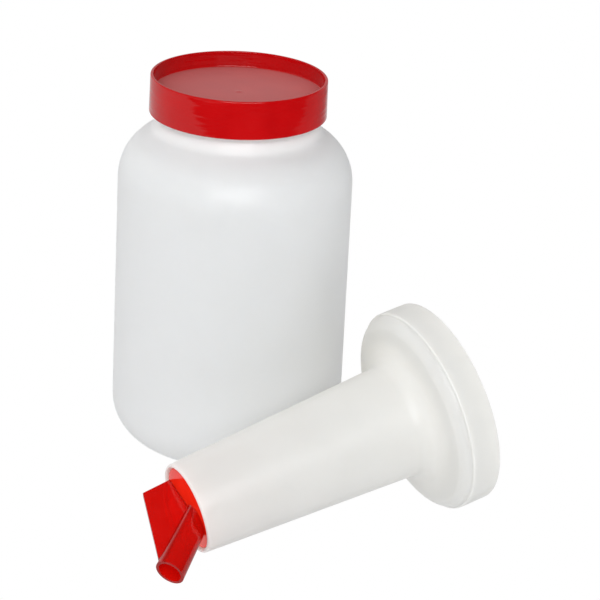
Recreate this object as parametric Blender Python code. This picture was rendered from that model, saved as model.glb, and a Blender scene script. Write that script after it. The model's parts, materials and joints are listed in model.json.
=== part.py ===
"""Store-and-pour drinks container: a wide-mouth jar with its screw lid, and the pouring neck for it.

The jar stands upright with the lid screwed on. The neck lies in front of it along X: it rests on the
edge of its collar, on its lip and on the tip of its spout. Sizes are in metres. The origin is the
centre of the jar's base, +Z is up, the neck lies on the -Y side and its collar points to +X.
"""
import math

import bmesh
import bpy
from mathutils import Matrix, Vector

GAP = 0.0003                        # kept between pieces that rest on each other
SEGMENTS = 64                       # facets round a large turned piece
SMALL_SEGMENTS = 32                 # facets round the spout's tube
CUT_OVERRUN = 0.0030                # how far a cutter passes beyond what it cuts

# Jar
JAR_FOOT_RADIUS = 0.0643            # the wall narrows slightly from foot to shoulder
JAR_SHOULDER_RADIUS = 0.0637
JAR_WALL = 0.0020
JAR_BASE_ROUND = 0.0255             # radius between the base and the wall
JAR_SHOULDER_START = 0.1536         # where the straight wall ends
JAR_SHOULDER_ROUND = 0.0293
JAR_SHOULDER_SWEEP = math.radians(61)
JAR_THROAT_RADIUS = 0.0446          # below the thread
JAR_THROAT_HEIGHT = 0.1855
FINISH_RADIUS = 0.0436              # the threaded mouth, outside and inside
MOUTH_RADIUS = 0.0413
RIM_HEIGHT = 0.1990

# Screw thread, shared by the jar, the lid and the neck's collar
THREAD_LEAD = 0.0050
THREAD_TURNS = 1.1
THREAD_BASE = 0.0024                # width at the root and at the crest
THREAD_TOP = 0.0009
THREAD_ROOT = 0.0006                # how far the ridge is sunk in its wall
JAR_CREST = 0.0452
CAP_CREST = 0.0442
CAP_BORE = 0.0460                   # inside of the lid's skirt and of the collar's ring
JAR_THREAD_LOW = 0.1919             # height of the thread's middle where it starts

# Lid and its liner
LID_TOP = 0.2113
LID_BOTTOM = 0.1909
LID_TOP_RADIUS = 0.0475
LID_BOTTOM_RADIUS = 0.0478
LID_FLOOR = 0.2024                  # top of the sunken floor
LID_FLOOR_THICKNESS = 0.0018
LID_RECESS_RADIUS = 0.0459
LID_EDGE_ROUND = 0.0006
LINER_RADIUS = 0.0456
LINER_THICKNESS = 0.0010

# Neck. Distances "along" run from the lip to the collar.
LIP_RADIUS = 0.0242
LIP_ROUND = 0.0014
BORE_RADIUS = 0.0221                # holds the spout's plug
BORE_DEPTH = 0.0096
BORE_CHAMFER = 0.0012
CONE_END = 0.1199
CONE_END_RADIUS = 0.0302
CONE_FILLET = 0.0109
FILLET_SWEEP = math.radians(78)
NECK_WALL = 0.0021
COLLAR_RADIUS = 0.0554
COLLAR_ROUND = 0.0084
COLLAR_EDGE = 0.1412                # where the rounded edge meets the collar's rim
NECK_LENGTH = 0.1543
SEAT = 0.1348                       # face that the gasket sits on
SEAT_INNER_RADIUS = 0.0404
RING_RADIUS = 0.0482                # outside of the threaded ring inside the collar
RING_END = 0.1510
COLLAR_THREAD_LOW = -0.1488         # in the neck's own Z, which points out of the lip

# Gasket in the collar
GASKET_RADIUS = 0.0456
GASKET_BORE = 0.0409
GASKET_THICKNESS = 0.0015

# Where the neck lies
LIP_X = -0.0811
NECK_Y = -0.1151
SPOUT_ROLL = math.radians(70.2)     # the spout's turn away from straight down, towards -Y

# Spout, in the neck's frame: "out" is along the neck's axis from the lip, "off" is across it
PLUG_RADIUS = 0.0217
PLUG_BORE = 0.0184
PLUG_TOP = -0.0014
PLUG_FLOOR = -0.0030
PLUG_END = -0.0090
GROOVE_RADIUS = 0.0196
GROOVE_TOP = -0.0046
GROOVE_END = -0.0070
TUBE_ANGLE = math.radians(40.5)     # from the neck's axis
TUBE_RADIUS = 0.0070                # at the plug; it widens a little towards the mouth
TUBE_BORE = 0.0057
MOUTH_ANGLE = math.radians(35)      # the cut of the tube's end
MOUTH_RADIUS_OUTSIDE = 0.0077
MOUTH_BORE = 0.0062
MOUTH_OUT = 0.0257
MOUTH_OFF = 0.0318
FIN_THICKNESS = 0.0026
FIN_CORNERS = (                     # (out, off)
    (-0.0022, -0.0203),
    (0.0148, -0.0189),
    (0.0269, 0.0218),
    (0.0215, 0.0275),
    (-0.0022, 0.0080),
)
SEAL_RADIUS = 0.0218
SEAL_BORE = 0.0199
SEAL_WIDTH = 0.0018


def clear_scene():
    for item in list(bpy.data.objects):
        bpy.data.objects.remove(item, do_unlink=True)


def plastic(name, color, roughness, transmission=0.0):
    material = bpy.data.materials.new(name)
    material.use_nodes = True
    shader = material.node_tree.nodes["Principled BSDF"]
    shader.inputs["Base Color"].default_value = (*color, 1.0)
    shader.inputs["Roughness"].default_value = roughness
    shader.inputs["Metallic"].default_value = 0.0
    shader.inputs["Transmission Weight"].default_value = transmission
    return material


def arc(center, radii, start, end, steps):
    """Points on an ellipse about center, angles in radians from +r towards +z, both ends included."""
    points = []
    for step in range(steps + 1):
        angle = start + (end - start) * step / steps
        points.append((center[0] + radii[0] * math.cos(angle), center[1] + radii[1] * math.sin(angle)))
    return points


def mesh_object(name, shape, material):
    bmesh.ops.recalc_face_normals(shape, faces=shape.faces)
    mesh = bpy.data.meshes.new(name)
    shape.to_mesh(mesh)
    shape.free()
    mesh.shade_smooth()
    mesh.set_sharp_from_angle(angle=math.radians(35))
    if material:
        mesh.materials.append(material)
    item = bpy.data.objects.new(name, mesh)
    bpy.context.scene.collection.objects.link(item)
    return item


def turned(name, outline, material, segments=SEGMENTS):
    """A closed (radius, z) outline turned about Z. A point on the axis becomes one vertex."""
    shape = bmesh.new()
    rings = []
    for radius, height in outline:
        if radius < 1e-7:
            rings.append([shape.verts.new((0, 0, height))])
            continue
        ring = []
        for index in range(segments):
            angle = math.tau * index / segments
            ring.append(shape.verts.new((radius * math.cos(angle), radius * math.sin(angle), height)))
        rings.append(ring)
    for first, second in zip(rings, rings[1:] + rings[:1]):
        if len(first) == 1 and len(second) == 1:
            continue
        for index in range(segments):
            corners = [first[index % len(first)], first[(index + 1) % len(first)],
                       second[(index + 1) % len(second)], second[index % len(second)]]
            shape.faces.new(list(dict.fromkeys(corners)))
    return mesh_object(name, shape, material)


def thread_ridge(name, wall_radius, crest_radius, low, first_turn=0.0):
    """A right-hand helical ridge that starts and ends inside the wall it is joined to."""
    outward = math.copysign(1.0, crest_radius - wall_radius)
    root = wall_radius - outward * THREAD_ROOT
    steps = round(THREAD_TURNS * SEGMENTS)
    fade_steps = SEGMENTS // 12
    shape = bmesh.new()
    rings = []
    for step in range(steps + 1):
        turn = first_turn + step / SEGMENTS
        angle = math.tau * turn
        height = low + THREAD_LEAD * step / SEGMENTS
        fade = min(1.0, (step + 0.2) / fade_steps, (steps - step + 0.2) / fade_steps)
        crest = root + (crest_radius - root) * fade
        section = [(root, -THREAD_BASE / 2), (root, THREAD_BASE / 2),
                   (crest, THREAD_TOP / 2), (crest, -THREAD_TOP / 2)]
        rings.append([shape.verts.new((radius * math.cos(angle), radius * math.sin(angle), height + rise))
                      for radius, rise in section])
    for first, second in zip(rings, rings[1:]):
        for index in range(4):
            after = (index + 1) % 4
            shape.faces.new((first[index], first[after], second[after], second[index]))
    shape.faces.new(rings[0])
    shape.faces.new(rings[-1])
    return hidden(mesh_object(name, shape, None))


def hidden(item):
    item.hide_render = True
    item.display_type = "WIRE"
    return item


def combine(item, other, operation):
    modifier = item.modifiers.new(other.name, "BOOLEAN")
    modifier.operation = operation
    modifier.solver = "EXACT"
    modifier.object = other


def jar_outline():
    base_round = (JAR_BASE_ROUND, JAR_BASE_ROUND)
    base_center = (JAR_FOOT_RADIUS - JAR_BASE_ROUND, JAR_BASE_ROUND)
    inner_base_round = (JAR_BASE_ROUND - JAR_WALL, JAR_BASE_ROUND - JAR_WALL)
    shoulder_round = (JAR_SHOULDER_ROUND, JAR_SHOULDER_ROUND)
    shoulder_center = (JAR_SHOULDER_RADIUS - JAR_SHOULDER_ROUND, JAR_SHOULDER_START)
    inner_shoulder_round = (JAR_SHOULDER_ROUND - JAR_WALL, JAR_SHOULDER_ROUND - JAR_WALL)
    outside = [(0, 0)]
    outside += arc(base_center, base_round, -math.pi / 2, 0, 6)
    outside += arc(shoulder_center, shoulder_round, 0, JAR_SHOULDER_SWEEP, 6)
    outside += [(JAR_THROAT_RADIUS + 0.0014, JAR_THROAT_HEIGHT - 0.0040),
                (JAR_THROAT_RADIUS + 0.0005, JAR_THROAT_HEIGHT - 0.0020),
                (JAR_THROAT_RADIUS, JAR_THROAT_HEIGHT),
                (FINISH_RADIUS, JAR_THROAT_HEIGHT + 0.0020),
                (FINISH_RADIUS, RIM_HEIGHT - 0.0004),
                (FINISH_RADIUS - 0.0004, RIM_HEIGHT)]
    inside = [(MOUTH_RADIUS, RIM_HEIGHT), (MOUTH_RADIUS, JAR_THROAT_HEIGHT - 0.0050)]
    inside += arc(shoulder_center, inner_shoulder_round, math.radians(64), 0, 4)
    inside += arc(base_center, inner_base_round, 0, -math.pi / 2, 4)
    inside += [(0, JAR_WALL)]
    return outside + inside


def make_jar(material):
    jar = turned("jar", jar_outline(), material)
    ridge = thread_ridge("jar_thread", FINISH_RADIUS, JAR_CREST, JAR_THREAD_LOW)
    combine(jar, ridge, "UNION")


def lid_outline():
    underside = LID_FLOOR - LID_FLOOR_THICKNESS
    edge = (LID_EDGE_ROUND, LID_EDGE_ROUND)
    outline = [(0, underside), (CAP_BORE, underside), (CAP_BORE, LID_BOTTOM),
               (LID_BOTTOM_RADIUS - 0.0003, LID_BOTTOM), (LID_BOTTOM_RADIUS, LID_BOTTOM + 0.0003)]
    outline += arc((LID_TOP_RADIUS - LID_EDGE_ROUND, LID_TOP - LID_EDGE_ROUND), edge, 0, math.pi / 2, 2)
    outline += [(LID_RECESS_RADIUS + 0.0004, LID_TOP), (LID_RECESS_RADIUS, LID_TOP - 0.0004),
                (LID_RECESS_RADIUS - 0.0001, LID_FLOOR + 0.0008),
                (LID_RECESS_RADIUS - 0.0009, LID_FLOOR), (0, LID_FLOOR)]
    return outline


def make_lid(material):
    lid = turned("lid", lid_outline(), material)
    # half a lead below the jar's thread, so that each ridge runs in the middle of the other's groove
    first_turn = 0.56
    low = JAR_THREAD_LOW + THREAD_LEAD * (first_turn - 0.5)
    ridge = thread_ridge("lid_thread", CAP_BORE, CAP_CREST, low, first_turn)
    combine(lid, ridge, "UNION")


def make_liner(material):
    top = LID_FLOOR - LID_FLOOR_THICKNESS - GAP
    bottom = top - LINER_THICKNESS
    turned("lid_liner", [(0, bottom), (LINER_RADIUS, bottom), (LINER_RADIUS, top), (0, top)], material)


def neck_outline():
    """(radius, -along): the neck's own Z points out of its lip."""
    lip_center = (LIP_RADIUS - LIP_ROUND, LIP_ROUND)
    fillet_center = (CONE_END_RADIUS + CONE_FILLET, CONE_END)
    inner_fillet = CONE_FILLET + NECK_WALL
    throat = BORE_DEPTH + 0.0024
    throat_radius = LIP_RADIUS + (CONE_END_RADIUS - LIP_RADIUS) * throat / CONE_END - NECK_WALL
    edge_center = (COLLAR_RADIUS - COLLAR_ROUND, COLLAR_EDGE)
    inner_edge = COLLAR_ROUND - NECK_WALL
    outside = arc(lip_center, (LIP_ROUND, LIP_ROUND), -math.pi / 2, 0, 3)
    outside += arc(fillet_center, (CONE_FILLET, CONE_FILLET), math.pi, math.pi - FILLET_SWEEP, 4)
    outside += arc(edge_center, (COLLAR_ROUND, COLLAR_ROUND), math.radians(-84), 0, 4)
    outside += [(COLLAR_RADIUS, NECK_LENGTH)]
    inside = [(COLLAR_RADIUS - NECK_WALL, NECK_LENGTH)]
    inside += arc(edge_center, (inner_edge, inner_edge), 0, math.radians(-75), 3)
    inside += [(RING_RADIUS, COLLAR_EDGE - inner_edge + 0.0004), (RING_RADIUS, RING_END),
               (CAP_BORE, RING_END), (CAP_BORE, SEAT), (SEAT_INNER_RADIUS, SEAT)]
    inside += arc(fillet_center, (inner_fillet, inner_fillet), math.pi - FILLET_SWEEP, math.pi, 4)
    inside += [(throat_radius, throat), (BORE_RADIUS, BORE_DEPTH), (BORE_RADIUS, BORE_CHAMFER)]
    return [(radius, -along) for radius, along in outside + inside]


def make_neck(material, pose):
    neck = turned("neck", neck_outline(), material)
    ridge = thread_ridge("collar_thread", CAP_BORE, CAP_CREST, COLLAR_THREAD_LOW)
    ridge.parent = neck
    combine(neck, ridge, "UNION")
    neck.parent = pose


def make_gasket(material, pose):
    top = -(SEAT + GAP)
    bottom = top - GASKET_THICKNESS
    outline = [(GASKET_BORE, bottom), (GASKET_RADIUS, bottom), (GASKET_RADIUS, top), (GASKET_BORE, top)]
    turned("neck_gasket", outline, material).parent = pose


def make_seal(material, pose):
    middle = (GROOVE_TOP + GROOVE_END) / 2
    center = ((SEAL_RADIUS + SEAL_BORE) / 2, middle)
    outline = arc(center, ((SEAL_RADIUS - SEAL_BORE) / 2, SEAL_WIDTH / 2), 0, math.tau, 6)[:-1]
    turned("spout_seal", outline, material, SMALL_SEGMENTS).parent = pose


def plug_outline():
    return [(0, PLUG_TOP), (PLUG_RADIUS - 0.0003, PLUG_TOP), (PLUG_RADIUS, PLUG_TOP - 0.0003),
            (PLUG_RADIUS, GROOVE_TOP), (GROOVE_RADIUS, GROOVE_TOP), (GROOVE_RADIUS, GROOVE_END),
            (PLUG_RADIUS, GROOVE_END), (PLUG_RADIUS, PLUG_END + 0.0004),
            (PLUG_RADIUS - 0.0004, PLUG_END), (PLUG_BORE, PLUG_END), (PLUG_BORE, PLUG_FLOOR),
            (0, PLUG_FLOOR)]


def slanted_rod(name, foot_radius, foot_out, mouth_radius, mouth_shift):
    """A slightly tapered rod along the tube's axis, cut level at its foot and at the mouth's angle."""
    direction = Vector((math.sin(TUBE_ANGLE), 0, math.cos(TUBE_ANGLE)))
    across = Vector((math.cos(TUBE_ANGLE), 0, -math.sin(TUBE_ANGLE)))
    sideways = Vector((0, 1, 0))
    mouth = Vector((MOUTH_OFF, 0, MOUTH_OUT)) + direction * mouth_shift
    cut = Vector((math.sin(MOUTH_ANGLE), 0, math.cos(MOUTH_ANGLE)))
    shape = bmesh.new()
    low, high = [], []
    for index in range(SMALL_SEGMENTS):
        angle = math.tau * index / SMALL_SEGMENTS
        spoke = across * math.cos(angle) + sideways * math.sin(angle)
        top = mouth + spoke * mouth_radius
        top -= direction * ((top - mouth).dot(cut) / direction.dot(cut))
        foot = mouth + spoke * foot_radius
        foot += direction * ((foot_out - foot.z) / direction.z)
        high.append(shape.verts.new(top))
        low.append(shape.verts.new(foot))
    for index in range(SMALL_SEGMENTS):
        after = (index + 1) % SMALL_SEGMENTS
        shape.faces.new((low[index], low[after], high[after], high[index]))
    shape.faces.new(low)
    shape.faces.new(high)
    return mesh_object(name, shape, None)


def fin_plate(name):
    shape = bmesh.new()
    sides = []
    for side in (-FIN_THICKNESS / 2, FIN_THICKNESS / 2):
        sides.append([shape.verts.new((off, side, out)) for out, off in FIN_CORNERS])
    count = len(FIN_CORNERS)
    for index in range(count):
        after = (index + 1) % count
        shape.faces.new((sides[0][index], sides[0][after], sides[1][after], sides[1][index]))
    shape.faces.new(sides[0])
    shape.faces.new(sides[1])
    return mesh_object(name, shape, None)


def make_spout(material, pose):
    spout = turned("spout", plug_outline(), material)
    middle_of_floor = (PLUG_TOP + PLUG_FLOOR) / 2
    tube = slanted_rod("spout_tube", TUBE_RADIUS, middle_of_floor, MOUTH_RADIUS_OUTSIDE, 0.0)
    fin = fin_plate("spout_fin")
    # the cutter passes right through the plug's floor and out of the mouth
    bore = slanted_rod("spout_bore", TUBE_BORE, PLUG_FLOOR - CUT_OVERRUN, MOUTH_BORE, CUT_OVERRUN)
    for other, operation in ((tube, "UNION"), (fin, "UNION"), (bore, "DIFFERENCE")):
        hidden(other).parent = spout
        combine(spout, other, operation)
    spout.parent = pose


def neck_pose():
    """An empty at the middle of the lip: Z out of the lip, X the way the spout points."""
    # the floor is tangent to the rounded edges of the lip and of the collar
    run = COLLAR_EDGE - LIP_ROUND
    rise = (COLLAR_RADIUS - COLLAR_ROUND) - (LIP_RADIUS - LIP_ROUND)
    tilt = math.atan2(rise, run) + math.asin((COLLAR_ROUND - LIP_ROUND) / math.hypot(rise, run))
    height = LIP_ROUND + (LIP_RADIUS - LIP_ROUND) * math.cos(tilt) - LIP_ROUND * math.sin(tilt)
    out = Vector((-math.cos(tilt), 0, -math.sin(tilt)))
    up = Vector((-math.sin(tilt), 0, math.cos(tilt)))
    spout_side = -math.cos(SPOUT_ROLL) * up + math.sin(SPOUT_ROLL) * Vector((0, -1, 0))
    rotation = Matrix((spout_side, out.cross(spout_side), out)).transposed()
    pose = bpy.data.objects.new("neck_pose", None)
    bpy.context.scene.collection.objects.link(pose)
    pose.matrix_world = Matrix.Translation((LIP_X, NECK_Y, height)) @ rotation.to_4x4()
    return pose


def main():
    clear_scene()
    milky = plastic("milky_polyethylene", (0.86, 0.86, 0.84), 0.42)
    red = plastic("red_polypropylene", (0.60, 0.008, 0.010), 0.30)
    clear_red = plastic("clear_red_plastic", (0.72, 0.020, 0.008), 0.10, 0.6)
    foam = plastic("liner_foam", (0.88, 0.88, 0.86), 0.75)
    rubber = plastic("seal_rubber", (0.80, 0.80, 0.78), 0.60)
    make_jar(milky)
    make_lid(red)
    make_liner(foam)
    pose = neck_pose()
    make_neck(milky, pose)
    make_gasket(rubber, pose)
    make_seal(rubber, pose)
    make_spout(clear_red, pose)


main()
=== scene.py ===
"""Looks of the store-and-pour container: the jar with its screw lid, and the pouring neck beside it.

The CAD nodes give the places and the motion. Each piece here is a smooth rebuild of one CAD node, with
rounded edges, moulding detail and its own plastic. Lengths are in metres and +Z is up. In the neck's
own frame the origin is the middle of the lip, Z points out of the lip, and X is the spout's side.
"""
import json
import math

import bmesh
import bpy
from mathutils import Matrix, Vector


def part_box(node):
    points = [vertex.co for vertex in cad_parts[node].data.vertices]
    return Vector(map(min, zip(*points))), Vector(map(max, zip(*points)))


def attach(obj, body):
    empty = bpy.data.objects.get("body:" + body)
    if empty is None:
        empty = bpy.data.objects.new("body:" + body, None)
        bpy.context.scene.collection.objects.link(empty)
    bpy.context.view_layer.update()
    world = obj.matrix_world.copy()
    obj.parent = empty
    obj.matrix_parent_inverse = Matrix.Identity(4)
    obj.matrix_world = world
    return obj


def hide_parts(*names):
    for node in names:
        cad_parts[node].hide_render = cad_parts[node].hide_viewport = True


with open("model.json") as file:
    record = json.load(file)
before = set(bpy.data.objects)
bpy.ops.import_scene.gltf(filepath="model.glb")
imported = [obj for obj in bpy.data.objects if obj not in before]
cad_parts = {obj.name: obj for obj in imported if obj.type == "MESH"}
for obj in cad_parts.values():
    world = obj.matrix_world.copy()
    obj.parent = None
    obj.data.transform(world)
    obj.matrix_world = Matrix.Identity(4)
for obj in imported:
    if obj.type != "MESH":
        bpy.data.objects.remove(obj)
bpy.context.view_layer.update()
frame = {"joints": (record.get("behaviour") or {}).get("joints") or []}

SEGMENTS = 160                      # facets round a large turned piece
SMALL_SEGMENTS = 96                 # facets round the plug, the tube and the seal
EDGE = 0.0004                       # radius of a moulding's small rounded edges
SHARP_ANGLE = math.radians(50)      # faces that meet at a larger angle have an edge between them
WALL_SHARES = (0.1, 0.3, 0.5, 0.7, 0.9)         # where a straight wall gets its rings

# Screw thread
THREAD_LEAD = 0.0050
THREAD_TURNS = 1.1
THREAD_BASE = 0.0026
THREAD_ROOT = 0.0006                # how far a ridge reaches into its wall
THREAD_FADE_STEPS = SEGMENTS // 10
RIDGE_SIDE_STEPS = 4                # facets on each side of a ridge's crest
JAR_CREST = 0.0452
CAP_CREST = 0.0442
CAP_BORE = 0.0460
LID_THREAD_TURN = 0.56              # where the lid's ridge starts, in turns from the jar's

# Jar
JAR_FOOT_RADIUS = 0.0643
JAR_SHOULDER_RADIUS = 0.0637
JAR_WALL = 0.0020
JAR_BASE_ROUND = 0.0255
JAR_SHOULDER_START = 0.1536
JAR_SHOULDER_ROUND = 0.0293
JAR_SHOULDER_SWEEP = 61             # degrees, outside
JAR_SHOULDER_SWEEP_INSIDE = 62
JAR_THROAT_RADIUS = 0.0446
JAR_THROAT_HEIGHT = 0.1855
THROAT_CURVE = (                    # (radius, height) from the throat
    (0.0022, -0.0048),
    (0.0014, -0.0038),
    (0.0007, -0.0024),
    (0.0002, -0.0008),
    (-0.0002, 0.0008),
)
FINISH_CURVE = ((0.0002, 0.0018), (0, 0.0026))  # from the finish's wall and the throat's height
MOUTH_CURVE = ((0, -0.0010), (0.0004, -0.0040))     # the same, from the mouth's wall
FINISH_RADIUS = 0.0436
MOUTH_RADIUS = 0.0413
JAR_THREAD_LOW = 0.1919
BASE_DISH_RADIUS = 0.0300           # shallow dish under the base
BASE_DISH_DEPTH = 0.0008
BASE_DISH_CURVE = ((-0.0020, 1), (0, 0.6), (0.0016, 0))     # (radius, share of the depth) at its edge

# Lid and liner
LID_TOP_RADIUS = 0.0475
LID_BOTTOM_RADIUS = 0.0478
LID_RECESS_DEPTH = 0.0089
LID_RECESS_RADIUS = 0.0459
LID_FLOOR_THICKNESS = 0.0018
LID_FLOOR_RIM = 0.0030              # from the recess's wall to the floor's first ring past the corner
LID_CORNER = 0.0009
LID_TOP_ROUND = 0.0007
GATE_RADIUS = 0.0011                # mark left by the moulding gate
GATE_CURVE = ((3.0, 0), (1.6, 0), (1.0, 0.0002), (0.5, 0.0003), (0, 0.0003))    # (share of radius, height)
RING_EDGE = 0.0003                  # rounded edge of the liner and the gasket
FLOOR_FACING_UP = 0.7               # least Z of a normal that counts as facing up

# Neck, distances "along" from the lip; the negative ones are heights in the neck's own frame
LIP_RADIUS = 0.0242
LIP_ROUND = 0.0014
BORE_RADIUS = 0.0221
BORE_DEPTH = 0.0096
BORE_CHAMFER = 0.0012
BORE_TAPER = 0.0024                 # from the bore's end to the cone's inner wall
CONE_END = 0.1199
CONE_END_RADIUS = 0.0302
CONE_FILLET = 0.0109
FILLET_SWEEP = 78
NECK_WALL = 0.0021
COLLAR_RADIUS = 0.0554
COLLAR_ROUND = 0.0084
COLLAR_ROUND_START = -84            # degrees
COLLAR_ROUND_END_INSIDE = -75
COLLAR_EDGE = 0.1412
STEP = 0.0005                       # the mould's parting step, where the rounding meets the rim
STEP_ROUND = 0.0012
STEP_ANGLE = 21                     # degrees before the rounding's end
STEP_ROUND_START = -60
NECK_LENGTH = 0.1543
SEAT = 0.1348
SEAT_INNER_RADIUS = 0.0404
RING_RADIUS = 0.0482
RING_END = 0.1510
COLLAR_THREAD_LOW = -0.1488
GASKET_INNER_RADIUS = 0.0409
GASKET_OUTER_RADIUS = 0.0456
GASKET_LOW = -0.1366
GASKET_HIGH = -0.1351
SPOUT_ROLL = math.radians(70.2)     # the spout's turn away from straight down, towards -Y

# Spout
PLUG_RADIUS = 0.0217
PLUG_BORE = 0.0184
PLUG_TOP = -0.0014
PLUG_FLOOR = -0.0030
PLUG_END = -0.0090
GROOVE_RADIUS = 0.0196
GROOVE_TOP = -0.0046
GROOVE_END = -0.0070
SEAL_OUTER_RADIUS = 0.0218
SEAL_INNER_RADIUS = 0.0199
SEAL_ROUND = 0.00095
TUBE_ANGLE = math.radians(40.5)
TUBE_RADIUS = 0.0070
TUBE_BORE = 0.0057
MOUTH_ANGLE = math.radians(35)
MOUTH_RADIUS_OUTSIDE = 0.0077
MOUTH_BORE = 0.0062
MOUTH_OUT = 0.0257
MOUTH_OFF = 0.0318
CUT_OVERRUN = 0.0030
FIN_THICKNESS = 0.0026
SPOUT_EDGE = 0.0005
SPOUT_EDGE_FACETS = 4
FIN_CORNERS = (                     # (out, off)
    (-0.0022, -0.0203),
    (0.0148, -0.0189),
    (0.0269, 0.0218),
    (0.0215, 0.0275),
    (-0.0022, 0.0080),
)

# Camera and stage
CAMERA_PLACE = (-0.5375, -1.0248, 0.5591)
CAMERA_TURN = (67.630, -2.806, -28.434)         # degrees about X, Y and Z
CAMERA_LENS = 135.1
CAMERA_REACH = 20
LAMP_PLACE = (-0.62, -1.37, 0.95)
LAMP_TARGET = (0, -0.05, 0.10)
LAMP_SIZE = (1.6, 0.9)
LAMP_POWER = 20.0
FLOOR_SIZE = 8.0
FLOOR_DROP = 0.0005                 # keeps the jar's foot clear of the table's face
UPWARD = (0, 0, 1)
LEFTWARD = (-0.88, 0.48, 0)         # the camera's left, along the floor
RIGHTWARD = (0.88, -0.48, 0)
LOW_LEFT = (-0.88, 0.48, -0.8)
LEFT_BEHIND = (-0.40, 0.92, 0)
LOW_BEHIND = (0.48, 0.88, -0.8)
AWAY = (0.16, 1, 0)                 # away from the camera
SEEN_GLOW = 1.0                     # what the eye sees of the table and the sky
SEEN_THROUGH_GLOW = 0.62            # what shows of them through clear plastic
# A glow, and its rises: (direction, from, to, by)
TABLE_GLOW = (0.92, ((RIGHTWARD, 0.05, 0.50, 0.45),))
TABLE_MIRRORED = (0.05, ((AWAY, -0.25, -0.21, 0.58),))
TABLE_DIMMING = (1.0, ((RIGHTWARD, 0.20, 0.40, -0.60),))
SKY_GLOW = (0.0, (
    (UPWARD, 0, 1, 0.65),
    (LEFTWARD, 0, 1, 0.60),
    (LEFT_BEHIND, 0, 1, 0.60),
    (RIGHTWARD, 0, 1, 0.24),
))
SKY_MIRRORED = (0.05, ((LOW_BEHIND, 0.2, 0.6, 0.50), (LOW_LEFT, 0.2, 0.6, 0.50)))

# Milky plastics: darker shade, lighter shade, and how deep the light goes in
JAR_MILK = ((0.950, 0.933, 0.885), (0.960, 0.943, 0.897), 0.008)
# Painted shade: the neck is the jar's white polyethylene, given much darker shades so that it shows no
# brighter than the jar under this light
NECK_MILK_PAINTED_SHADE = ((0.690, 0.687, 0.662), (0.705, 0.702, 0.677), 0.006)


# ---------------------------------------------------------------- meshes

def arc(center, radius, start, end, steps):
    """Points round center, angles in degrees from +r towards +z, both ends included."""
    points = []
    for step in range(steps + 1):
        angle = math.radians(start + (end - start) * step / steps)
        points.append((center[0] + radius * math.cos(angle), center[1] + radius * math.sin(angle)))
    return points


def finished(name, shape, materials):
    bmesh.ops.recalc_face_normals(shape, faces=shape.faces)
    mesh = bpy.data.meshes.new(name)
    shape.to_mesh(mesh)
    shape.free()
    mesh.shade_smooth()
    for material in materials:
        mesh.materials.append(material)
    piece = bpy.data.objects.new(name, mesh)
    bpy.context.scene.collection.objects.link(piece)
    return piece


def turned(name, outline, materials, segments=SEGMENTS):
    """A closed (radius, z) outline turned about Z."""
    shape = bmesh.new()
    rings = []
    for radius, height in outline:
        count = segments if radius > 1e-7 else 1
        turns = [math.tau * index / count for index in range(count)]
        rings.append([shape.verts.new((radius * math.cos(a), radius * math.sin(a), height)) for a in turns])
    for first, second in zip(rings, rings[1:] + rings[:1]):
        if len(first) == 1 and len(second) == 1:
            continue
        for index in range(segments):
            after = index + 1
            corners = [first[index % len(first)], first[after % len(first)],
                       second[after % len(second)], second[index % len(second)]]
            shape.faces.new(list(dict.fromkeys(corners)))
    return finished(name, shape, materials)


def thread_ridge(wall_radius, crest_radius, low, first_turn=0.0):
    """A rounded right-hand ridge that fades into its wall at both ends."""
    root = wall_radius - math.copysign(THREAD_ROOT, crest_radius - wall_radius)
    steps = round(THREAD_TURNS * SEGMENTS)
    shape = bmesh.new()
    rings = []
    for step in range(steps + 1):
        turn = math.tau * (first_turn + step / SEGMENTS)
        nearest_end = min(step, steps - step)
        fade = math.sin(math.pi / 2 * min(1.0, (nearest_end + 0.5) / THREAD_FADE_STEPS))
        ring = []
        for side in range(-RIDGE_SIDE_STEPS, RIDGE_SIDE_STEPS + 1):
            angle = math.radians(side * 90 / RIDGE_SIDE_STEPS)
            radius = root + (crest_radius - root) * fade * math.cos(angle) ** 0.5
            height = low + THREAD_LEAD * step / SEGMENTS + THREAD_BASE / 2 * math.sin(angle)
            ring.append(shape.verts.new((radius * math.cos(turn), radius * math.sin(turn), height)))
        rings.append(ring)
    for first, second in zip(rings, rings[1:]):
        for index in range(len(first)):
            after = (index + 1) % len(first)
            shape.faces.new((first[index], first[after], second[after], second[index]))
    shape.faces.new(rings[0])
    shape.faces.new(rings[-1])
    return finished("thread", shape, [])


def combine(piece, other, operation):
    """Joins other to the piece, or cuts it away, and deletes it."""
    modifier = piece.modifiers.new(other.name, "BOOLEAN")
    modifier.operation = operation
    modifier.solver = "EXACT"
    modifier.object = other
    settle(piece)
    bpy.data.objects.remove(other, do_unlink=True)


def settle(piece):
    """Applies the piece's modifiers."""
    evaluated = piece.evaluated_get(bpy.context.evaluated_depsgraph_get())
    mesh = bpy.data.meshes.new_from_object(evaluated)
    piece.modifiers.clear()
    piece.data = mesh


def soften(piece, width, facets):
    """Rounds the sharp edges, and shades the edges that are still sharp as edges."""
    bevel = piece.modifiers.new("rounding", "BEVEL")
    bevel.width = width
    bevel.segments = facets
    bevel.limit_method = "ANGLE"
    bevel.angle_limit = SHARP_ANGLE
    settle(piece)
    piece.data.set_sharp_from_angle(angle=SHARP_ANGLE)


def stands_for(piece, node, body):
    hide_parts(node)
    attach(piece, body)


# ---------------------------------------------------------------- materials

def plastic(name):
    material = bpy.data.materials.new(name)
    material.use_nodes = True
    return material, material.node_tree.nodes["Principled BSDF"]


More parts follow.
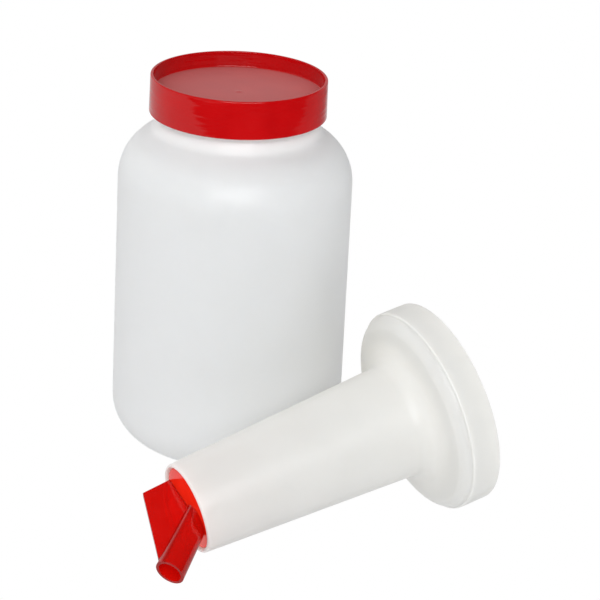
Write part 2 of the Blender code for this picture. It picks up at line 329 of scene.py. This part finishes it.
def cloud(tree, scale, detail=3.0, squeeze=1.0):
    """A soft noise in the piece's own space, from 0 to 1, squeezed along Z into level streaks."""
    place = tree.nodes.new("ShaderNodeTexCoord")
    stretch = tree.nodes.new("ShaderNodeMapping")
    stretch.inputs["Scale"].default_value = (1.0, 1.0, squeeze)
    noise = tree.nodes.new("ShaderNodeTexNoise")
    noise.inputs["Scale"].default_value = scale
    noise.inputs["Detail"].default_value = detail
    tree.links.new(place.outputs["Object"], stretch.inputs["Vector"])
    tree.links.new(stretch.outputs["Vector"], noise.inputs["Vector"])
    return noise.outputs["Fac"]


def mottle(tree, shader, scale, dark, light):
    """Lets the colour drift a little between two shades."""
    ramp = tree.nodes.new("ShaderNodeValToRGB")
    ramp.color_ramp.elements[0].position = 0.35
    ramp.color_ramp.elements[0].color = (*dark, 1.0)
    ramp.color_ramp.elements[1].position = 0.65
    ramp.color_ramp.elements[1].color = (*light, 1.0)
    tree.links.new(cloud(tree, scale), ramp.inputs["Fac"])
    tree.links.new(ramp.outputs["Color"], shader.inputs["Base Color"])


def vary_roughness(tree, shader, scale, low, high):
    span = tree.nodes.new("ShaderNodeMapRange")
    span.inputs["From Min"].default_value = 0.3
    span.inputs["From Max"].default_value = 0.7
    span.inputs["To Min"].default_value = low
    span.inputs["To Max"].default_value = high
    tree.links.new(cloud(tree, scale), span.inputs["Value"])
    tree.links.new(span.outputs["Result"], shader.inputs["Roughness"])


def grain(tree, shader, layers):
    """Bumps from (scale, height, squeeze) layers of noise."""
    normal = None
    for scale, height, squeeze in layers:
        bump = tree.nodes.new("ShaderNodeBump")
        bump.inputs["Strength"].default_value = 1.0
        bump.inputs["Distance"].default_value = height
        tree.links.new(cloud(tree, scale, 2.0, squeeze), bump.inputs["Height"])
        if normal:
            tree.links.new(normal, bump.inputs["Normal"])
        normal = bump.outputs["Normal"]
    tree.links.new(normal, shader.inputs["Normal"])


def milky_polyethylene(name, dark, light, depth):
    material, shader = plastic(name)
    tree = material.node_tree
    shader.inputs["Subsurface Weight"].default_value = 1.0
    shader.inputs["Subsurface Radius"].default_value = (1.0, 0.96, 0.92)
    shader.inputs["Subsurface Scale"].default_value = depth
    shader.inputs["IOR"].default_value = 1.50
    mottle(tree, shader, 30.0, dark, light)
    vary_roughness(tree, shader, 30.0, 0.34, 0.44)
    grain(tree, shader, ((45.0, 0.00008, 1.0), (900.0, 0.000012, 1.0)))
    return material


def red_polypropylene():
    material, shader = plastic("red_polypropylene")
    tree = material.node_tree
    shader.inputs["Specular IOR Level"].default_value = 0.40
    shader.inputs["Subsurface Weight"].default_value = 0.05
    shader.inputs["Subsurface Radius"].default_value = (1.0, 0.1, 0.1)
    shader.inputs["Subsurface Scale"].default_value = 0.002
    mottle(tree, shader, 60.0, (0.43, 0.001, 0.002), (0.47, 0.002, 0.003))
    vary_roughness(tree, shader, 90.0, 0.08, 0.12)
    grain(tree, shader, ((30.0, 0.00030, 10.0), (1400.0, 0.000006, 1.0)))
    return material


def frosted_red():
    """The lid's sunken floor, which the mould leaves finely textured."""
    material, shader = plastic("red_frosted_floor")
    tree = material.node_tree
    shader.inputs["Roughness"].default_value = 0.62
    shader.inputs["Sheen Weight"].default_value = 0.27
    shader.inputs["Sheen Roughness"].default_value = 0.6
    shader.inputs["Sheen Tint"].default_value = (1.0, 0.8, 0.8, 1.0)
    mottle(tree, shader, 50.0, (0.40, 0.012, 0.010), (0.44, 0.016, 0.012))
    grain(tree, shader, ((2600.0, 0.00005, 1.0),))
    return material


def clear_red(name, clearness, painted_glow, dark, light):
    """Clear plastic whose dye takes out green and blue within a few millimetres, and little red.

    Its emission is a painted glow: a weak light in the plastic that stands for the light which dyed plastic
    gathers.
    """
    material, shader = plastic(name)
    tree = material.node_tree
    shader.inputs["Transmission Weight"].default_value = clearness
    # colour of the painted glow
    shader.inputs["Emission Color"].default_value = (1.0, 0.035, 0.008, 1.0)
    shader.inputs["Emission Strength"].default_value = painted_glow
    shader.inputs["IOR"].default_value = 1.49
    shader.inputs["Specular IOR Level"].default_value = 0.18
    mottle(tree, shader, 120.0, dark, light)
    vary_roughness(tree, shader, 140.0, 0.07, 0.13)
    dye = tree.nodes.new("ShaderNodeVolumeAbsorption")
    dye.inputs["Color"].default_value = (0.930, 0.10, 0.0, 1.0)
    dye.inputs["Density"].default_value = 1000.0
    tree.links.new(dye.outputs["Volume"], tree.nodes["Material Output"].inputs["Volume"])
    return material


def liner_foam():
    material, shader = plastic("liner_foam")
    shader.inputs["Roughness"].default_value = 0.80
    mottle(material.node_tree, shader, 300.0, (0.84, 0.84, 0.82), (0.90, 0.90, 0.88))
    grain(material.node_tree, shader, ((1800.0, 0.00008, 1.0),))
    return material


def seal_rubber():
    material, shader = plastic("seal_rubber")
    shader.inputs["Roughness"].default_value = 0.55
    mottle(material.node_tree, shader, 200.0, (0.77, 0.77, 0.75), (0.82, 0.82, 0.80))
    grain(material.node_tree, shader, ((900.0, 0.00002, 1.0),))
    return material


# ---------------------------------------------------------------- jar, lid, liner

def jar_outline(rim):
    foot = (JAR_FOOT_RADIUS - JAR_BASE_ROUND, JAR_BASE_ROUND)
    shoulder = (JAR_SHOULDER_RADIUS - JAR_SHOULDER_ROUND, JAR_SHOULDER_START)
    outside = [(0, BASE_DISH_DEPTH)]
    outside += [(BASE_DISH_RADIUS + radius, BASE_DISH_DEPTH * share) for radius, share in BASE_DISH_CURVE]
    outside += arc(foot, JAR_BASE_ROUND, -90, 0, 20)
    outside += [(JAR_FOOT_RADIUS + (JAR_SHOULDER_RADIUS - JAR_FOOT_RADIUS) * share,
                 JAR_BASE_ROUND + (JAR_SHOULDER_START - JAR_BASE_ROUND) * share)
                for share in WALL_SHARES]
    outside += arc(shoulder, JAR_SHOULDER_ROUND, 0, JAR_SHOULDER_SWEEP, 18)
    outside += [(JAR_THROAT_RADIUS + radius, JAR_THROAT_HEIGHT + height) for radius, height in THROAT_CURVE]
    outside += [(FINISH_RADIUS + radius, JAR_THROAT_HEIGHT + height) for radius, height in FINISH_CURVE]
    outside += arc((FINISH_RADIUS - EDGE, rim - EDGE), EDGE, 0, 90, 4)
    inside = arc((MOUTH_RADIUS + EDGE, rim - EDGE), EDGE, 90, 180, 4)
    inside += [(MOUTH_RADIUS + radius, JAR_THROAT_HEIGHT + height) for radius, height in MOUTH_CURVE]
    inside += arc(shoulder, JAR_SHOULDER_ROUND - JAR_WALL, JAR_SHOULDER_SWEEP_INSIDE, 0, 16)
    inside += arc(foot, JAR_BASE_ROUND - JAR_WALL, 0, -90, 16)
    inside += [(BASE_DISH_RADIUS, JAR_WALL), (0, JAR_WALL + BASE_DISH_DEPTH)]
    return outside + inside


def make_jar(material):
    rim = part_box("jar")[1].z
    jar = turned("jar_moulding", jar_outline(rim), [material])
    combine(jar, thread_ridge(FINISH_RADIUS, JAR_CREST, JAR_THREAD_LOW), "UNION")
    jar.data.set_sharp_from_angle(angle=SHARP_ANGLE)
    stands_for(jar, "jar", "jar_body")


def lid_outline(bottom, top):
    floor = top - LID_RECESS_DEPTH
    underside = floor - LID_FLOOR_THICKNESS
    outline = [(0, underside), (CAP_BORE - LID_CORNER, underside)]
    outline += arc((CAP_BORE - LID_CORNER, underside - LID_CORNER), LID_CORNER, 90, 0, 5)
    outline += arc((CAP_BORE + EDGE, bottom + EDGE), EDGE, 180, 270, 4)
    outline += arc((LID_BOTTOM_RADIUS - EDGE, bottom + EDGE), EDGE, -90, 0, 4)
    outline += arc((LID_TOP_RADIUS - LID_TOP_ROUND, top - LID_TOP_ROUND), LID_TOP_ROUND, 0, 90, 5)
    outline += arc((LID_RECESS_RADIUS + EDGE, top - EDGE), EDGE, 90, 180, 4)
    outline += arc((LID_RECESS_RADIUS - LID_CORNER, floor + LID_CORNER), LID_CORNER, 0, -90, 6)
    outline += [(LID_RECESS_RADIUS - LID_FLOOR_RIM, floor), (LID_RECESS_RADIUS / 2, floor)]
    outline += [(GATE_RADIUS * share, floor + height) for share, height in GATE_CURVE]
    return outline


def make_lid(material, floor_material):
    low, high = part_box("lid")
    lid = turned("lid_moulding", lid_outline(low.z, high.z), [material, floor_material])
    ridge_low = JAR_THREAD_LOW + THREAD_LEAD * (LID_THREAD_TURN - 0.5)
    combine(lid, thread_ridge(CAP_BORE, CAP_CREST, ridge_low, LID_THREAD_TURN), "UNION")
    floor = high.z - LID_RECESS_DEPTH
    for face in lid.data.polygons:
        sunken = abs(face.center.z - floor) < EDGE
        if sunken and face.normal.z > FLOOR_FACING_UP and face.center.to_2d().length < LID_RECESS_RADIUS:
            face.material_index = 1
    lid.data.set_sharp_from_angle(angle=SHARP_ANGLE)
    stands_for(lid, "lid", "lid_body")


def rounded_ring(name, inner, outer, low, high, material):
    """A flat ring, or a disc when inner is 0, with rounded edges."""
    outline = arc((outer - RING_EDGE, low + RING_EDGE), RING_EDGE, -90, 0, 4)
    outline += arc((outer - RING_EDGE, high - RING_EDGE), RING_EDGE, 0, 90, 4)
    if inner > 0:
        outline += arc((inner + RING_EDGE, high - RING_EDGE), RING_EDGE, 90, 180, 4)
        outline += arc((inner + RING_EDGE, low + RING_EDGE), RING_EDGE, 180, 270, 4)
    else:
        outline += [(0, high), (0, low)]
    return turned(name, outline, [material])


def make_liner(material):
    low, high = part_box("lid_liner")
    liner = rounded_ring("liner_disc", 0, high.x, low.z, high.z, material)
    stands_for(liner, "lid_liner", "liner_body")


# ---------------------------------------------------------------- neck, gasket, seal

def neck_frame():
    """The neck's own frame, from the joint that the spout turns on."""
    joint = next(item for item in frame["joints"] if item["name"] == "spout_turn")
    out = Vector(joint["axis"]).normalized()
    up = (Vector((0, 0, 1)) - out * out.z).normalized()
    side = -math.cos(SPOUT_ROLL) * up + math.sin(SPOUT_ROLL) * Vector((0, -1, 0))
    rotation = Matrix((side, out.cross(side), out)).transposed()
    return Matrix.Translation(joint["pos_m"]) @ rotation.to_4x4()


def neck_outline():
    fillet = (CONE_END_RADIUS + CONE_FILLET, CONE_END)
    collar = (COLLAR_RADIUS - COLLAR_ROUND, COLLAR_EDGE)
    throat = BORE_DEPTH + BORE_TAPER
    throat_radius = LIP_RADIUS + (CONE_END_RADIUS - LIP_RADIUS) * throat / CONE_END - NECK_WALL
    inner_round = COLLAR_ROUND - NECK_WALL
    outline = arc((LIP_RADIUS - LIP_ROUND, LIP_ROUND), LIP_ROUND, -90, 0, 8)
    outline += [(LIP_RADIUS + (CONE_END_RADIUS - LIP_RADIUS) * share, CONE_END * share)
                for share in WALL_SHARES]
    outline += arc(fillet, CONE_FILLET, 180, 180 - FILLET_SWEEP, 16)
    outline += arc((collar[0] - STEP, collar[1]), COLLAR_ROUND, COLLAR_ROUND_START, -STEP_ANGLE, 16)
    step_end = outline[-1][1] + STEP_ROUND
    outline += arc((COLLAR_RADIUS - STEP_ROUND, step_end), STEP_ROUND, STEP_ROUND_START, 0, 8)
    outline += arc((COLLAR_RADIUS - EDGE, NECK_LENGTH - EDGE), EDGE, 0, 90, 4)
    outline += arc((COLLAR_RADIUS - NECK_WALL + EDGE, NECK_LENGTH - EDGE), EDGE, 90, 180, 4)
    outline += arc(collar, inner_round, 0, COLLAR_ROUND_END_INSIDE, 10)
    outline += [(RING_RADIUS, COLLAR_EDGE - inner_round + EDGE)]
    outline += arc((RING_RADIUS - EDGE, RING_END - EDGE), EDGE, 0, 90, 4)
    outline += arc((CAP_BORE + EDGE, RING_END - EDGE), EDGE, 90, 180, 4)
    outline += [(CAP_BORE, SEAT + EDGE), (CAP_BORE - EDGE, SEAT), (SEAT_INNER_RADIUS, SEAT)]
    outline += arc(fillet, CONE_FILLET + NECK_WALL, 180 - FILLET_SWEEP, 180, 14)
    outline += [(throat_radius, throat), (BORE_RADIUS, BORE_DEPTH), (BORE_RADIUS, BORE_CHAMFER)]
    return [(radius, -along) for radius, along in outline]


def make_neck(material, pose):
    neck = turned("neck_moulding", neck_outline(), [material])
    combine(neck, thread_ridge(CAP_BORE, CAP_CREST, COLLAR_THREAD_LOW), "UNION")
    neck.data.set_sharp_from_angle(angle=SHARP_ANGLE)
    neck.data.transform(pose)
    stands_for(neck, "neck", "neck_body")


def make_gasket(material, pose):
    gasket = rounded_ring(
        "gasket_ring", GASKET_INNER_RADIUS, GASKET_OUTER_RADIUS, GASKET_LOW, GASKET_HIGH, material)
    gasket.data.transform(pose)
    stands_for(gasket, "neck_gasket", "neck_body")


def make_seal(material, pose):
    middle = ((SEAL_OUTER_RADIUS + SEAL_INNER_RADIUS) / 2, (GROOVE_TOP + GROOVE_END) / 2)
    outline = arc(middle, SEAL_ROUND, 0, 360, 16)[:-1]
    seal = turned("seal_ring", outline, [material], SMALL_SEGMENTS)
    seal.data.transform(pose)
    stands_for(seal, "spout_seal", "seal_body")


# ---------------------------------------------------------------- spout

def plug_outline():
    top = arc((PLUG_RADIUS - EDGE, PLUG_TOP - EDGE), EDGE, 90, 0, 4)
    foot = arc((PLUG_RADIUS - EDGE, PLUG_END + EDGE), EDGE, 0, -90, 4)
    groove = [(PLUG_RADIUS, GROOVE_TOP), (GROOVE_RADIUS, GROOVE_TOP),
              (GROOVE_RADIUS, GROOVE_END), (PLUG_RADIUS, GROOVE_END)]
    hollow = [(PLUG_BORE, PLUG_END), (PLUG_BORE, PLUG_FLOOR), (0, PLUG_FLOOR)]
    return [(0, PLUG_TOP)] + top + groove + foot + hollow


def slanted_rod(name, foot_radius, foot_out, mouth_radius, mouth_shift):
    direction = Vector((math.sin(TUBE_ANGLE), 0, math.cos(TUBE_ANGLE)))
    across = Vector((math.cos(TUBE_ANGLE), 0, -math.sin(TUBE_ANGLE)))
    sideways = Vector((0, 1, 0))
    mouth = Vector((MOUTH_OFF, 0, MOUTH_OUT)) + direction * mouth_shift
    cut = Vector((math.sin(MOUTH_ANGLE), 0, math.cos(MOUTH_ANGLE)))
    shape = bmesh.new()
    low, high = [], []
    for index in range(SMALL_SEGMENTS):
        angle = math.tau * index / SMALL_SEGMENTS
        spoke = across * math.cos(angle) + sideways * math.sin(angle)
        top = mouth + spoke * mouth_radius
        top -= direction * ((top - mouth).dot(cut) / direction.dot(cut))
        foot = mouth + spoke * foot_radius
        foot += direction * ((foot_out - foot.z) / direction.z)
        high.append(shape.verts.new(top))
        low.append(shape.verts.new(foot))
    for index in range(SMALL_SEGMENTS):
        after = (index + 1) % SMALL_SEGMENTS
        shape.faces.new((low[index], low[after], high[after], high[index]))
    shape.faces.new(low)
    shape.faces.new(high)
    return finished(name, shape, [])


def fin_plate():
    shape = bmesh.new()
    sides = [[shape.verts.new((off, side, out)) for out, off in FIN_CORNERS]
             for side in (-FIN_THICKNESS / 2, FIN_THICKNESS / 2)]
    for index in range(len(FIN_CORNERS)):
        after = (index + 1) % len(FIN_CORNERS)
        shape.faces.new((sides[0][index], sides[0][after], sides[1][after], sides[1][index]))
    shape.faces.new(sides[0])
    shape.faces.new(sides[1])
    return finished("fin", shape, [])


def make_spout(material, plug_material, pose):
    spout = turned("spout_moulding", plug_outline(), [material, plug_material], SMALL_SEGMENTS)
    middle_of_floor = (PLUG_TOP + PLUG_FLOOR) / 2
    combine(spout, slanted_rod("tube", TUBE_RADIUS, middle_of_floor, MOUTH_RADIUS_OUTSIDE, 0.0), "UNION")
    combine(spout, fin_plate(), "UNION")
    bore = slanted_rod("bore", TUBE_BORE, PLUG_FLOOR - CUT_OVERRUN, MOUTH_BORE, CUT_OVERRUN)
    combine(spout, bore, "DIFFERENCE")
    # the plug's faces take the copy of the clear red that carries the painted glow
    for face in spout.data.polygons:
        face.material_index = 1 if face.center.z < PLUG_TOP + EDGE / 2 else 0
    soften(spout, SPOUT_EDGE, SPOUT_EDGE_FACETS)
    spout.data.transform(pose)
    stands_for(spout, "spout", "spout_body")


# ---------------------------------------------------------------- stage

def add_camera():
    camera = bpy.data.objects.new("camera", bpy.data.cameras.new("camera"))
    bpy.context.scene.collection.objects.link(camera)
    camera.location = CAMERA_PLACE
    camera.rotation_euler = [math.radians(angle) for angle in CAMERA_TURN]
    camera.data.lens = CAMERA_LENS
    camera.data.clip_end = CAMERA_REACH
    bpy.context.scene.camera = camera


def fed(tree, node, inputs):
    """Feeds a node's sockets, by index, with values and other nodes' outputs; returns its first output."""
    for index, value in inputs.items():
        if isinstance(value, (int, float)):
            node.inputs[index].default_value = value
        else:
            tree.links.new(value, node.inputs[index])
    return node.outputs[0]


def choose(tree, factor, first, second):
    return fed(tree, tree.nodes.new("ShaderNodeMix"), {0: factor, 2: first, 3: second})


def rising(tree, place, glow):
    """A glow that rises along some directions; the place is a point, or a ray's own direction."""
    strength, rises = glow
    for direction, start, end, rise in rises:
        reach = tree.nodes.new("ShaderNodeVectorMath")
        reach.operation = "DOT_PRODUCT"
        reach.inputs[1].default_value = direction
        tree.links.new(place, reach.inputs[0])
        added = fed(tree, tree.nodes.new("ShaderNodeMapRange"),
                    {0: reach.outputs["Value"], 1: start, 2: end, 3: 0.0, 4: rise})
        strength = fed(tree, tree.nodes.new("ShaderNodeMath"), {0: added, 1: strength})
    return strength


def add_floor():
    """A white light table, plain white to the eye, whose glow rises towards the right.

    In reflections it is dark in front of the object, bright from the object on, and dimmer to the right.
    """
    shape = bmesh.new()
    bmesh.ops.create_grid(shape, x_segments=1, y_segments=1, size=FLOOR_SIZE / 2)
    material = bpy.data.materials.new("floor")
    material.use_nodes = True
    tree = material.node_tree
    tree.nodes.clear()
    path = tree.nodes.new("ShaderNodeLightPath")
    place = tree.nodes.new("ShaderNodeTexCoord")
    mirrored = tree.nodes.new("ShaderNodeMath")
    mirrored.operation = "MULTIPLY"
    mirrored = fed(tree, mirrored, {0: rising(tree, place.outputs["Object"], TABLE_MIRRORED),
                                    1: rising(tree, place.outputs["Object"], TABLE_DIMMING)})
    plain = rising(tree, place.outputs["Object"], TABLE_GLOW)
    strength = choose(tree, path.outputs["Is Glossy Ray"], plain, mirrored)
    strength = choose(tree, path.outputs["Is Transmission Ray"], strength, SEEN_THROUGH_GLOW)
    strength = choose(tree, path.outputs["Is Camera Ray"], strength, SEEN_GLOW)
    glow = tree.nodes.new("ShaderNodeEmission")
    tree.links.new(strength, glow.inputs["Strength"])
    output = tree.nodes.new("ShaderNodeOutputMaterial")
    tree.links.new(glow.outputs[0], output.inputs["Surface"])
    material.cycles.emission_sampling = "NONE"      # so that each ray gets its own kind's glow
    floor = finished("floor", shape, [material])
    floor.location.z = -FLOOR_DROP


def add_lamp():
    light = bpy.data.lights.new("front", "AREA")
    light.shape = "RECTANGLE"
    light.size, light.size_y = LAMP_SIZE
    light.energy = LAMP_POWER
    lamp = bpy.data.objects.new("front", light)
    bpy.context.scene.collection.objects.link(lamp)
    lamp.location = LAMP_PLACE
    lamp.rotation_euler = (Vector(LAMP_TARGET) - Vector(LAMP_PLACE)).to_track_quat("-Z", "Y").to_euler()


def add_sky():
    world = bpy.data.worlds.new("studio")
    world.use_nodes = True
    tree = world.node_tree
    place = tree.nodes.new("ShaderNodeTexCoord")
    path = tree.nodes.new("ShaderNodeLightPath")
    plain = rising(tree, place.outputs["Generated"], SKY_GLOW)
    mirrored = rising(tree, place.outputs["Generated"], SKY_MIRRORED)
    strength = choose(tree, path.outputs["Is Glossy Ray"], plain, mirrored)
    strength = choose(tree, path.outputs["Is Transmission Ray"], strength, SEEN_THROUGH_GLOW)
    strength = choose(tree, path.outputs["Is Camera Ray"], strength, SEEN_GLOW)
    tree.links.new(strength, tree.nodes["Background"].inputs["Strength"])
    tree.nodes["Background"].inputs["Color"].default_value = (1.0, 1.0, 1.0, 1.0)
    world.cycles.sampling_method = "NONE"           # so that each ray gets its own kind's glow
    bpy.context.scene.world = world


def main():
    bpy.context.scene.view_settings.view_transform = "Standard"
    add_camera()
    add_floor()
    add_sky()
    add_lamp()
    jar_plastic = milky_polyethylene("milky_jar_polyethylene", *JAR_MILK)
    # the neck's copy of the milky plastic carries painted shade
    neck_plastic_painted_shade = milky_polyethylene("milky_neck_polyethylene_painted_shade", *NECK_MILK_PAINTED_SHADE)
    make_jar(jar_plastic)
    make_lid(red_polypropylene(), frosted_red())
    make_liner(liner_foam())
    rubber = seal_rubber()
    pose = neck_frame()
    make_neck(neck_plastic_painted_shade, pose)
    make_gasket(rubber, pose)
    make_seal(rubber, pose)
    clear = clear_red("clear_red_plastic", 0.75, 0.0, (0.94, 0.010, 0.004), (0.98, 0.013, 0.006))
    # Painted glow and painted light: the plug's copy of the clear red is more orange, less clear and glows
    # a little, so that it looks lit through
    plug_with_painted_glow = clear_red("clear_red_plug_painted_glow", 0.40, 0.13, (0.97, 0.022, 0.006), (0.99, 0.028, 0.009))
    make_spout(clear, plug_with_painted_glow, pose)


def save_sizes():
    bpy.context.view_layer.update()


main()
save_sizes()
